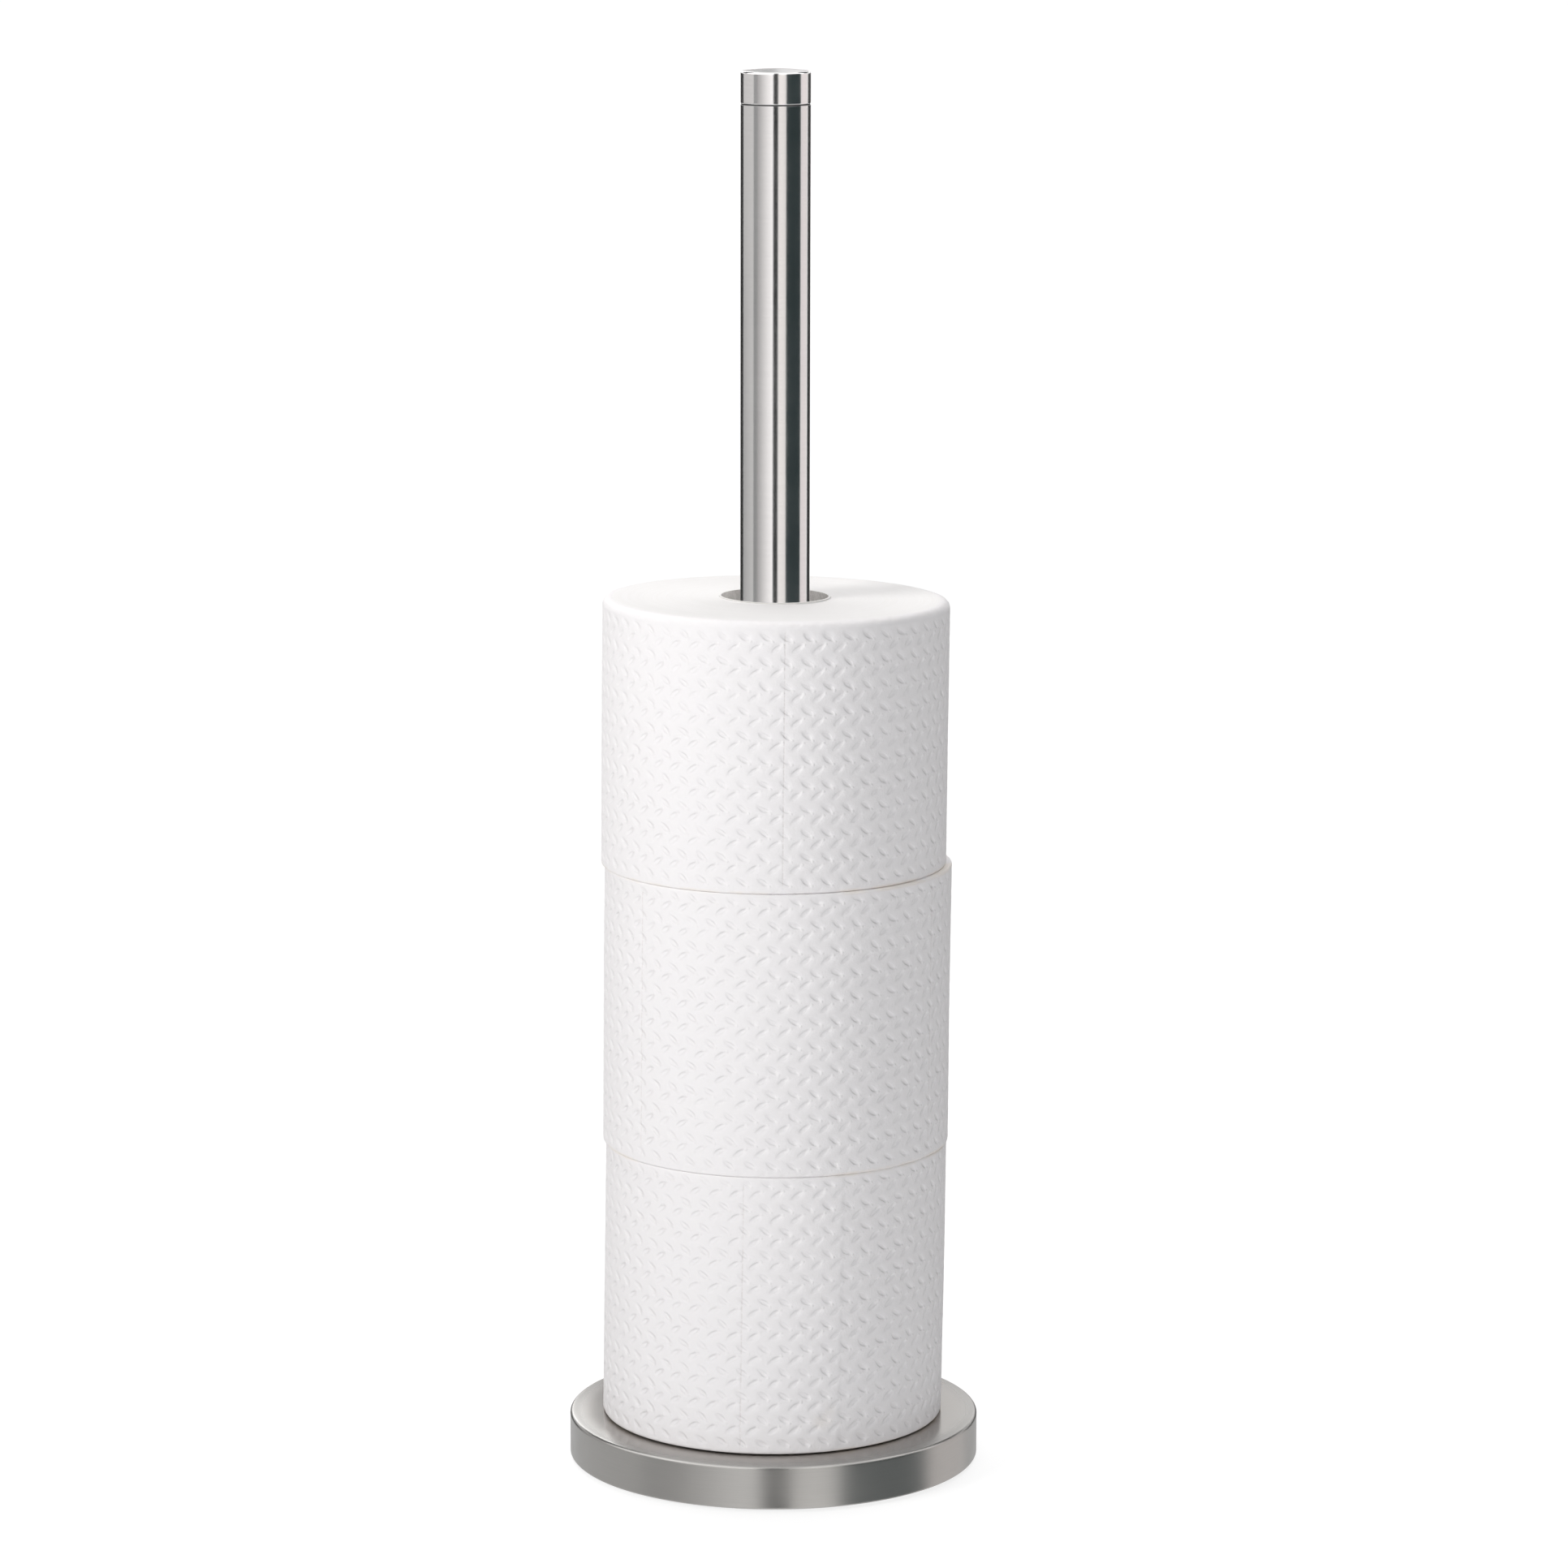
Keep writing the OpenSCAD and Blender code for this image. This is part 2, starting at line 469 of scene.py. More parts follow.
@dataclass(frozen=True)
class WornMetal(Finish):
    """Cast or plated metal with specks and stains.

    Attributes:
        colour: its colour.
        stain: its colour in the stains.
        metallic: 1 for bare metal.
        roughness: mean roughness.
        specks: specks in a metre.
        depth: depth of the specks.
    """

    colour: Colour
    stain: Colour
    metallic: float = 1.0
    roughness: float = 0.4
    specks: float = 900.0
    depth: float = 0.02 * MM

    def material(self) -> bpy.types.Material:
        """Builds the material."""
        material, desk, shader, place = self.begin()
        specks, stains = self.group(desk, fine_wear(), place, Specks=self.specks)
        inputs = {
            "Base Color": desk.blend(stains.step(0.45, 0.7), self.colour, self.stain),
            "Roughness": specks.step(0.3, 0.7, self.roughness * 0.8, self.roughness * 1.2),
            "Metallic": self.metallic,
        }
        desk.fill(shader, inputs)
        self.bump(desk, shader, specks, self.depth)
        return material


@dataclass(frozen=True)
class Moulded(Finish):
    """Moulded rubber or plastic with a fine matt texture.

    Attributes:
        colour: its colour.
        roughness: mean roughness.
        depth: depth of the texture.
    """

    colour: Colour = grey(0.02)
    roughness: float = 0.6
    depth: float = 0.02 * MM

    def material(self) -> bpy.types.Material:
        """Builds the material."""
        material, desk, shader, place = self.begin()
        specks, stains = self.group(desk, fine_wear(), place, Specks=1800.0)
        dusty = tuple(level * 1.6 + 0.01 for level in self.colour[:3]) + (1.0,)
        inputs = {
            "Base Color": desk.blend(stains.step(0.5, 0.75), self.colour, dusty),
            "Roughness": specks.step(0.3, 0.7, self.roughness * 0.85, self.roughness * 1.15),
        }
        desk.fill(shader, inputs)
        self.bump(desk, shader, specks, self.depth)
        return material


@dataclass(frozen=True)
class Cardboard(Finish):
    """Grey-brown board, wound in a spiral with an open butt seam.

    Attributes:
        colour: colour of the board.
        fleck: colour of its darker fibres.
        rim: colour of its cut ends, paler than the rest of the board.
        strip: width of the wound strip, as a height.
    """

    colour: Colour = (0.8, 0.775, 0.75, 1.0)
    fleck: Colour = (0.66, 0.635, 0.61, 1.0)
    rim: Colour = (0.87, 0.86, 0.85, 1.0)
    strip: float = 60 * MM

    def material(self) -> bpy.types.Material:
        """Builds the material."""
        material, desk, shader, place = self.begin()
        specks, stains = self.group(desk, fine_wear(), place, Specks=1400.0, Stains=220.0)
        angle, _, height = polar(desk, place)
        winding = (height / self.strip + angle / math.tau).part()
        seam = (winding - 0.5).size().step(0.012, 0.0)
        flecks = (specks * 0.6 + stains * 0.4).step(0.42, 0.62)
        colour = desk.blend(seam * 0.5, desk.blend(flecks, self.fleck, self.colour), self.fleck)
        _, _, facing = desk.split(desk.use("ShaderNodeNewGeometry", {}, "Normal"))
        inputs = {
            "Base Color": desk.blend(facing.size().step(0.4, 0.9), colour, self.rim),
            "Roughness": specks.step(0.3, 0.7, 0.8, 0.95),
        }
        desk.fill(shader, inputs)
        self.bump(desk, shader, specks * 0.5 - seam * 2.0, 0.1 * MM)
        return material


@dataclass(frozen=True)
class Paper(Finish):
    """What the finishes of the paper share."""

    def coat(self, desk: Desk, shader: bpy.types.Node, colour: Value, fibres: Value) -> None:
        """Gives the shader its colour and the dull gloss of paper."""
        roughness = fibres.step(0.3, 0.7, 0.85, 0.95)
        desk.fill(shader, {"Base Color": colour, "Roughness": roughness, "Specular IOR Level": 0.15})


@dataclass(frozen=True)
class Tissue(Paper):
    """Soft white embossed paper on the outside of a roll.

    Attributes:
        roll: the roll.
        colour: colour of the paper.
        edge: tan painted as shade in the seams at the cut edges, and the colour of the glue.
        tear: colour painted as shade in the cuts of a tear line.
        dash: spacing of these cuts.
        glue_up: height of the glue spot's middle above the roll's foot, and of the spot itself.
        glue_back: how far it lies before the end of the last sheet, in degrees.
        glue_half: half its width, in degrees.
    """

    roll: "Roll"
    colour: Colour = (0.905, 0.888, 0.897, 1.0)
    edge: Colour = (0.86, 0.78, 0.68, 1.0)
    tear: Colour = (0.55, 0.47, 0.44, 1.0)
    dash: float = 2.6 * MM
    glue_up: float = 16 * MM
    glue_back: float = 6.0
    glue_half: float = 5.0

    def material(self) -> bpy.types.Material:
        """Builds the material."""
        roll = self.roll
        material, desk, shader, place = self.begin()
        place = self.straight(desk, place)
        (depth,) = self.group(desk, tissue_press(), place, Turn=roll.turn, Lift=roll.low)
        angle, _, height = polar(desk, place)
        fibres = desk.noise(place, 900.0, 5.0, 0.65)
        cloud = desk.noise(place, 70.0, 3.0)
        above, below = height - roll.low, (height * -1.0) + roll.high
        inner = above.maths("MINIMUM", below)
        # Painted shade: a tan tint near the foot and the top edge, where the rolls meet in seams.
        rim = above.step(1.3 * MM, 0.2 * MM).maths("MAXIMUM", below.step(1.3 * MM, 0.2 * MM) * roll.top_seam_shade)
        rim = rim * cloud.step(0.35, 0.6)
        if roll.pale_angle is not None:
            off = (angle - math.radians(roll.pale_angle)).size()
            rim = rim * off.step(math.radians(28.0), math.radians(45.0), 0.1, 1.0)
        colour = desk.blend(rim * 0.45, self.colour, self.edge)
        if roll.stained:
            colour = desk.blend(self.glue(angle, above, cloud) * 0.22, colour, self.edge)
        # Painted shade in the cuts of the tear line; the bump further on also dents them.
        cut = from_tear(angle, math.radians(roll.tear_angle)).step(0.006, 0.002) * inner.step(1.0 * MM, 4.0 * MM)
        cut = cut * ((height / self.dash).part() - 0.5).size().step(0.06, 0.2, 0.3, 1.0)
        cut = cut * desk.noise(place, 260.0, 1.0).step(0.3, 0.6, 0.3, 1.0)
        colour = desk.blend(cut * 0.2, colour, self.tear)
        self.coat(desk, shader, desk.blend(fibres.step(0.7, 0.3) * 0.03, colour, grey(0.6)), fibres)
        relief = fibres * 0.4 + desk.noise(place, 420.0, 3.0) * 0.5
        relief = relief - depth * inner.step(0.8 * MM, 3.5 * MM, 0.25, 1.0) - cut * 0.25
        self.bump(desk, shader, relief, FINE_PRESS)
        return material

    def straight(self, desk: Desk, place: Value) -> Value:
        """Gives the place as it was before the roll was leaned, so that the pattern meets the pressed mesh."""
        roll, tall = self.roll, self.roll.high - self.roll.low
        x, y, z = desk.split(place)
        leaned = (z - (roll.low + roll.high) / 2) * roll.lean + roll.shift
        fall = x * (z - roll.low) * (roll.tip / tall)
        low = (z - roll.low - roll.hollow) * (tall / (tall - roll.hollow)) + roll.low
        return desk.join(x - leaned, y, low + fall)

    def glue(self, angle: Value, above: Value, cloud: Value) -> Value:
        """The spot where the glue under the last sheet shows through.

        Args:
            angle: angle about Z.
            above: height above the roll's foot.
            cloud: slow noise that breaks the spot up.

        Returns:
            1 in the spot and 0 outside it.
        """
        off_side = (angle - math.radians(self.roll.tail_angle - self.glue_back)) / math.radians(self.glue_half)
        off_up = (above - self.glue_up) / (self.glue_up / 2)
        return (off_side * off_side + off_up * off_up).step(1.2, 0.2) * cloud.step(0.4, 0.6)


@dataclass(frozen=True)
class WoundEdge(Paper):
    """End faces of a roll, where the edges of the wound layers show as faint rings.

    Attributes:
        colour: colour of the paper.
        shade: colour between the layers.
        ring: spacing of the visible rings.
    """

    colour: Colour = (0.91, 0.897, 0.893, 1.0)
    shade: Colour = (0.88, 0.86, 0.845, 1.0)
    ring: float = 0.7 * MM

    def material(self) -> bpy.types.Material:
        """Builds the material."""
        material, desk, shader, place = self.begin()
        _, radius, _ = polar(desk, place)
        fibres = desk.noise(place, 1100.0, 4.0, 0.65)
        x, y, _ = desk.split(place)
        layers = desk.noise(desk.join(radius / self.ring, x * 12.0, y * 12.0), 1.0, 2.0, 0.6)
        shade = layers.step(0.35, 0.65) * 0.35 + desk.noise(place, 30.0, 2.0) * 0.2
        self.coat(desk, shader, desk.blend(shade, self.colour, self.shade), fibres)
        self.bump(desk, shader, layers * 0.7 + fibres * 0.5, 0.06 * MM)
        return material


# Turned shapes


@dataclass(frozen=True)
class Corner:
    """A corner of a section that is turned about Z.

    Attributes:
        r: distance from the axis.
        z: height.
        fillet: radius of the corner.
        rows: mesh rows on the straight side that follows.
    """

    r: float
    z: float
    fillet: float = 0.0
    rows: int = 1


def section(corners: Sequence[Corner], closed: bool = True, steps: int = 6, guard: float = 0.25 * MM) -> Outline:
    """Draws a section with rounded corners and, beside each of them, a guard point that keeps the flats flat.

    Args:
        corners: the corners in order, either way round.
        closed: whether the last corner joins the first; an open section starts and ends on the axis.
        steps: mesh steps in a rounded corner.
        guard: distance of the guard points from a rounded corner.

    Returns:
        The section's points.
    """
    runs: list[list[np.ndarray]] = []
    count = len(corners)
    for i, here in enumerate(corners):
        at = np.array((here.r, here.z))
        if here.fillet == 0 or (not closed and i in (0, count - 1)):
            runs.append([at])
            continue
        before, after = corners[i - 1], corners[(i + 1) % count]
        back, ahead = np.array((before.r, before.z)) - at, np.array((after.r, after.z)) - at
        back_len, ahead_len = np.linalg.norm(back), np.linalg.norm(ahead)
        back, ahead = back / back_len, ahead / ahead_len
        half = math.acos(float(np.clip(back @ ahead, -1, 1))) / 2
        reach = here.fillet / math.tan(half)
        middle = at + (back + ahead) / np.linalg.norm(back + ahead) * here.fillet / math.sin(half)
        first, last = at + back * reach - middle, at + ahead * reach - middle
        sweep = math.pi - 2 * half
        points = [
            middle + (math.sin((1 - t) * sweep) * first + math.sin(t * sweep) * last) / math.sin(sweep)
            for t in np.linspace(0, 1, steps + 1)
        ]
        if reach + guard < back_len / 2:
            points.insert(0, at + back * (reach + guard))
        if reach + guard < ahead_len / 2:
            points.append(at + ahead * (reach + guard))
        runs.append(points)
    outline: Outline = []
    for i, points in enumerate(runs):
        outline.extend((float(p[0]), float(p[1])) for p in points)
        if i == count - 1 and not closed:
            break
        start, end, rows = points[-1], runs[(i + 1) % count][0], corners[i].rows
        outline.extend(tuple((start + (end - start) * k / rows).tolist()) for k in range(1, rows))
    return outline


def hang(name: str, data: bpy.types.ID) -> bpy.types.Object:
    """Puts a mesh, a light or a camera in the scene as an object."""
    made = bpy.data.objects.new(name, data)
    bpy.context.scene.collection.objects.link(made)
    return made


def meshed(name: str, points: Sequence[Sequence[float]], faces: Sequence[Sequence[int]]) -> bpy.types.Object:
    """Makes an object of points and faces."""
    mesh = bpy.data.meshes.new(name)
    mesh.from_pydata(points, [], faces)
    return hang(name, mesh)


def turned(name: str, outline: Outline, columns: int, sharp: float = 40.0) -> bpy.types.Object:
    """Turns a section about Z into a closed mesh whose faces point outwards.

    Args:
        name: name of the piece.
        outline: the section; one that starts on the axis also ends on it.
        columns: mesh columns round the axis.
        sharp: angle in degrees above which an edge is shaded sharp.

    Returns:
        The piece.
    """
    points = np.array(outline)
    r, z = points[:, 0], points[:, 1]
    if np.sum(r * np.roll(z, -1) - np.roll(r, -1) * z) < 0:
        points = points[::-1]
    poles = bool(points[0, 0] == 0)
    ends = [[0, 0, points[0, 1]], [0, 0, points[-1, 1]]]
    rings = points[1:-1] if poles else points
    turn = np.arange(columns) * (math.tau / columns)
    across = (np.outer(rings[:, 0], np.cos(turn)), np.outer(rings[:, 0], np.sin(turn)))
    points = np.stack((*across, np.repeat(rings[:, 1:], columns, axis=1)), axis=-1).reshape(-1, 3)
    low = np.arange(len(rings) - 1 if poles else len(rings))[:, None]
    high = (low + 1) % len(rings)
    here = np.arange(columns)
    there = (here + 1) % columns
    grid = [low * columns + here, low * columns + there, high * columns + there, high * columns + here]
    faces = np.stack(grid, axis=-1).reshape(-1, 4).tolist()
    if poles:
        first, last, top = len(points), len(points) + 1, (len(rings) - 1) * columns
        points = np.vstack([points, ends])
        faces += [[first, int(b), int(a)] for a, b in zip(here, there)]
        faces += [[last, top + int(a), top + int(b)] for a, b in zip(here, there)]
    piece = meshed(name, points.tolist(), faces)
    piece.data.shade_smooth()
    piece.data.set_sharp_from_angle(angle=math.radians(sharp))
    piece.data.validate()
    return piece


def bore_of(node: str) -> float:
    """Radius of the hole in a round CAD node."""
    return min(vertex.co.xy.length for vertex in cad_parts[node].data.vertices)


class Slot(Enum):
    """Material slots of the record."""

    STEEL = "brushed_steel"
    ZINC = "zinc_plate"
    RUBBER = "pad_rubber"
    BOARD = "core_board"
    TISSUE = "tissue"


def place(piece: bpy.types.Object, body: str, slot: str, nodes: Sequence[str], material: bpy.types.Material) -> None:
    """Dresses a finished piece and ties it to the frame.

    Args:
        piece: the piece.
        body: the CAD body that it moves with.
        slot: the record's material slot; not used.
        nodes: the CAD nodes that it stands for.
        material: its material.
    """
    piece.data.materials.clear()
    piece.data.materials.append(material)
    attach(piece, body)
    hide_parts(*nodes)
    LOG.info("%s: %d faces on %s", piece.name, len(piece.data.polygons), body)


def dress(node: str, material: bpy.types.Material) -> None:
    """Gives a CAD node that stays a procedural material."""
    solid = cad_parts[node]
    for slot in solid.material_slots:
        slot.material = material
    if not solid.material_slots:
        solid.data.materials.append(material)
    LOG.info("%s keeps its solid", node)


# Geometry Nodes


class GeometryTree:
    """A Geometry Nodes tree with named inputs, applied to one piece and taken off again."""

    def __init__(self, name: str, inputs: Sequence[str]) -> None:
        """Makes the tree with its geometry, its named number inputs and its material input."""
        self.tree = bpy.data.node_groups.new(name, "GeometryNodeTree")
        new = self.tree.interface.new_socket
        new("Geometry", in_out="INPUT", socket_type="NodeSocketGeometry")
        self.sockets = {
            label: new(label, in_out="INPUT", socket_type="NodeSocketFloat").identifier for label in inputs
        }
        self.sockets["Material"] = new("Material", in_out="INPUT", socket_type="NodeSocketMaterial").identifier
        new("Geometry", in_out="OUTPUT", socket_type="NodeSocketGeometry")
        self.desk = Desk(self.tree)
        entry = self.desk.node("NodeGroupInput")
        self.given = {slot.name: Value(self.desk, slot) for slot in entry.outputs if slot.name}
        self.place = self.desk.use("GeometryNodeInputPosition", {})

    def close(self, offset: Value) -> None:
        """Ends the tree: moves the points by the offset, realizes the result and sets its material."""
        desk = self.desk
        moved = desk.use("GeometryNodeSetPosition", {"Geometry": self.given["Geometry"], "Offset": offset})
        real = desk.use("GeometryNodeRealizeInstances", {"Geometry": moved})
        done = desk.use("GeometryNodeSetMaterial", {"Geometry": real, "Material": self.given["Material"]})
        desk.fill(desk.node("NodeGroupOutput"), {"Geometry": done})

    def apply(self, piece: bpy.types.Object, material: bpy.types.Material, **values: float) -> None:
        """Runs the tree on a piece and keeps the result as a plain mesh.

        Args:
            piece: the piece, with its plain mesh.
            material: the material that the tree sets.
            values: the number inputs; an underscore stands for a space.
        """
        modifier = piece.modifiers.new(self.tree.name, "NODES")
        modifier.node_group = self.tree
        modifier[self.sockets["Material"]] = material
        for label, what in values.items():
            modifier[self.sockets[label.replace("_", " ")]] = what
        bpy.context.view_layer.update()
        result = bpy.data.meshes.new_from_object(piece.evaluated_get(bpy.context.evaluated_depsgraph_get()))
        piece.modifiers.clear()
        plain, piece.data = piece.data, result
        result.name = piece.name
        bpy.data.meshes.remove(plain)


def outer_turns_tree() -> GeometryTree:
    """Presses the ovals, the perforations and the loose end in the outer turns of a roll."""
    made = GeometryTree("outer_turns", ("Radius", "Low", "High", "Turn", "Tail Angle", "Tear Angle", "Seed"))
    desk, given = made.desk, made.given
    angle, radius, height = polar(desk, made.place)
    x, y, z = desk.split(made.place)
    on_wall = (radius - given["Radius"]).step(-0.9 * MM, -0.1 * MM)
    inner = (height - given["Low"]).maths("MINIMUM", given["High"] - height)
    fade = inner.step(0.6 * MM, 3.5 * MM, 0.15, 1.0)
    pressed = PATTERN.depth(desk, made.place, given["Turn"], given["Low"]) * PRESS * fade
    tail = ((angle - given["Tail Angle"]) / math.tau).part() * TAIL_STEP - TAIL_STEP
    groove = from_tear(angle, given["Tear Angle"]).step(0.012, 0.003) * GROOVE
    seeded = desk.join(x + given["Seed"], y, z * 0.6)
    swell = (desk.noise(seeded, 22.0, 1.0) - 0.5) * SWELL
    crease = (desk.noise(seeded, 120.0, 2.0) - 0.5) * CREASE
    out = (tail - pressed - groove + swell + crease) * on_wall
    made.close(desk.join(x / radius * out, y / radius * out, 0.0))
    return made


def wound_body_tree() -> GeometryTree:
    """Sinks the edges of the wound layers a little, unevenly, in the end faces of a roll."""
    made = GeometryTree("wound_layers", ("Radius", "Low", "High", "Seed"))
    desk, given = made.desk, made.given
    _, radius, height = polar(desk, made.place)
    x, y, _ = desk.split(made.place)
    middle = (given["Low"] + given["High"]) * 0.5
    side = (height - middle).maths("SIGN")
    flat = ((height - middle).size() - (given["High"] - given["Low"]) * 0.5).step(-0.3 * MM, -0.05 * MM)
    rim = (radius - given["Radius"]).step(-4.0 * MM, -16.0 * MM)
    broad = desk.noise(desk.join(x + given["Seed"], y, side), 26.0, 1.0)
    layers = desk.noise(desk.join(radius * 900.0, x * 25.0, y * 25.0 + given["Seed"]), 1.0, 2.0)
    sink = (broad * SINK + layers * LAYER_SINK) * flat * rim
    made.close(desk.join(0.0, 0.0, sink * side * -1.0))
    return made


# Sub-assemblies


@dataclass
class Base:
    """The weighted base: a drawn cover, a cast weight, an anti-slip ring and the clamp bolt.

    Attributes:
        sheet: thickness of the cover.
        edge_r: radius of the cover's top edge.
        lip_edge_r: radius where the wall turns in.
        lip_reach: how far the lip reaches in.
        fall: how much the top falls towards its edge.
        fall_from: radius at which it starts to fall.
        bolt_hole_r: radius of the hole in the cover.
        groove: depth of the grooves in the pad.
        groove_foot: half the width of their floor.
        grooves: grooves in the pad.
        head_flats: width of the bolt's head across its flats.
        head_t: height of the head.
        shank_r: radius of the bolt.
        chamfer: chamfer at the bolt's end.
    """

    sheet: float = 1.0 * MM
    edge_r: float = 1.2 * MM
    lip_edge_r: float = 0.8 * MM
    lip_reach: float = 5.0 * MM
    fall: float = 0.25 * MM
    fall_from: float = 60.0 * MM
    bolt_hole_r: float = 4.4 * MM
    groove: float = 0.5 * MM
    groove_foot: float = 0.3 * MM
    grooves: int = 8
    head_flats: float = 13.0 * MM
    head_t: float = 5.3 * MM
    shank_r: float = 4.0 * MM
    chamfer: float = 0.6 * MM

    def build(self) -> None:
        """Builds and dresses every piece of the base."""
        steel = BrushedSteel(
            "base_steel",
            colour=(0.43, 0.421, 0.406, 1.0),
            roughness=0.32,
            stretch=0.75,
            flat_from=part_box("base_shell")[1].z,
            flat_roughness=0.14,
            flat_colour=(0.435, 0.412, 0.39, 1.0),
        )
        zinc = WornMetal("zinc", (0.62, 0.63, 0.64, 1.0), (0.45, 0.46, 0.47, 1.0), roughness=0.35).material()
        iron = WornMetal(
            "cast_iron", grey(0.09), (0.07, 0.055, 0.045, 1.0), metallic=0.3, roughness=0.6, depth=0.15 * MM
        )
        place(self.cover(), "stand", Slot.STEEL.value, ["base_shell"], steel.material())
        place(self.pad(), "stand", Slot.RUBBER.value, ["floor_pad"], Moulded("pad_rubber").material())
        place(self.bolt(), "stand", Slot.ZINC.value, ["clamp_bolt"], zinc)
        dress("ballast_disc", iron.material())
        dress("lock_washer", zinc)
        dress("flat_washer", zinc)
        insert = WornMetal("turned_steel", grey(0.5), grey(0.38), roughness=0.3, specks=2500.0)
        dress("foot_insert", insert.material())

    def cover(self) -> bpy.types.Object:
        """The drawn cover, open below, with its wall turned in under the weight."""
        low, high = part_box("base_shell")
        r, inner = high.x, high.x - self.sheet
        lip = r - self.lip_reach
        roof, sill = high.z - self.sheet, low.z + self.sheet
        run = r - 2 * self.edge_r - self.fall_from
        slope = [
            Corner(self.fall_from + run * share, high.z - self.fall * share**2, rows=1 if share else 12)
            for share in np.linspace(1.0, 0.0, 11).tolist()
        ]
        corners = [
            Corner(lip, low.z, 0.2 * MM),
            Corner(r, low.z, self.lip_edge_r),
            Corner(r, high.z - self.fall, self.edge_r),
            *slope,
            Corner(self.bolt_hole_r, high.z),
            Corner(self.bolt_hole_r, roof, rows=8),
            Corner(inner, roof, 0.2 * MM),
            Corner(inner, sill, 0.1 * MM),
            Corner(lip, sill, 0.2 * MM),
        ]
        return turned("base_cover", section(corners), 256)

    def pad(self) -> bpy.types.Object:
        """The anti-slip ring, with shallow grooves in the face that meets the floor."""
        low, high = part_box("floor_pad")
        hole = bore_of("floor_pad")
        corners = [Corner(hole, low.z, 0.2 * MM)]
        foot, roof = self.groove_foot, low.z + self.groove
        for at in np.linspace(hole, high.x, self.grooves + 2)[1:-1].tolist():
            spots = ((-2 * foot, low.z), (-foot, roof), (foot, roof), (2 * foot, low.z))
            corners += [Corner(at + off, z, 0.1 * MM) for off, z in spots]
        corners += [Corner(high.x, low.z, 0.3 * MM), Corner(high.x, high.z, 0.3 * MM), Corner(hole, high.z)]
        return turned("base_pad", section(corners, steps=3), 160)

    def bolt(self) -> bpy.types.Object:
        """The hexagon bolt, with a chamfered head and a bevelled tip."""
        low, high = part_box("clamp_bolt")
        head_top = low.z + self.head_t
        flat_r, corner_r = self.head_flats / 2, self.head_flats / math.sqrt(3)
        corners = [
            Corner(0.0, low.z),
            Corner(flat_r * 0.93, low.z, 0.1 * MM),
            Corner(corner_r, low.z + 0.7 * MM),
            Corner(corner_r, head_top),
            Corner(self.shank_r, head_top, 0.2 * MM),
            Corner(self.shank_r, high.z - self.chamfer),
            Corner(self.shank_r - self.chamfer, high.z),
            Corner(0.0, high.z),
        ]
        sharp = 25.0
        piece = turned("base_bolt", section(corners, closed=False, steps=3), 96, sharp)
        for vertex in piece.data.vertices:
            r = vertex.co.xy.length
            if low.z + 0.3 * MM < vertex.co.z < head_top + 0.01 * MM and r > self.shank_r * 1.2:
                angle = math.atan2(vertex.co.y, vertex.co.x) % (math.tau / 6) - math.tau / 12
                scale = min(1.0, flat_r / math.cos(angle) / r)
                vertex.co.x *= scale
                vertex.co.y *= scale
        piece.data.set_sharp_from_angle(angle=math.radians(sharp))
        return piece


@dataclass
class Post:
    """The upright tube with its cap and the plug between them.

    Attributes:
        wall: wall of the tube and of the cap.
        ground: what grinding and polishing takes off the tube and the cap.
        tube_edge: broken edge at the tube's ends.
        cap_lip: rounding at the cap's foot.
        cap_edge_r: radius of the cap's top edge.
        cap_rise: how much the cap's top rises to its middle.
        cap_top: thickness of the cap's top.
    """

    wall: float = 1.0 * MM
    ground: float = 0.2 * MM
    tube_edge: float = 0.04 * MM
    cap_lip: float = 0.5 * MM
    cap_edge_r: float = 0.9 * MM
    cap_rise: float = 0.75 * MM
    cap_top: float = 1.2 * MM

    def build(self) -> None:
        """Builds and dresses the tube, the cap and the plug."""
        steel = BrushedSteel("post_steel", roughness=0.17, stretch=0.6)
        place(self.tube(), "stand", Slot.STEEL.value, ["post_tube"], steel.material())
        bright = BrushedSteel("cap_steel", colour=(0.9, 0.89, 0.885, 1.0), roughness=0.18, stretch=0.6)
        place(self.cap(), "stand", Slot.STEEL.value, ["top_cap"], bright.material())
        dress("cap_plug", Moulded("plug_nylon", colour=grey(0.03), roughness=0.45).material())

    def tube(self) -> bpy.types.Object:
        """The tube, standing on the cover."""
        low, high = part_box("post_tube")
        r, bore = high.x - self.ground, high.x - self.wall
        corners = [
            Corner(bore, low.z, self.tube_edge),
            Corner(r, low.z, self.tube_edge, rows=24),
            Corner(r, high.z, self.tube_edge),
            Corner(bore, high.z, self.tube_edge, rows=8),
        ]
        return turned("post_tube_brushed", section(corners, steps=4), 192)

    def cap(self) -> bpy.types.Object:
        """The drawn cap, with a rounded edge and a slightly domed top."""
        low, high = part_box("top_cap")
        r, bore = high.x - self.ground, high.x - self.wall
        dome_r = r - self.cap_edge_r
        corners = [
            Corner(0.0, high.z - self.cap_top),
            Corner(bore, high.z - self.cap_top),
            Corner(bore, low.z, self.tube_edge),
            Corner(r, low.z, self.cap_lip, rows=4),
            Corner(r, high.z - self.cap_rise, self.cap_edge_r),
        ]
        shares = np.linspace(0.92, 0.0, 12).tolist()
        corners += [Corner(dome_r * share, high.z - self.cap_rise * share**2) for share in shares]
        return turned("post_cap", section(corners, closed=False, steps=8), 192)


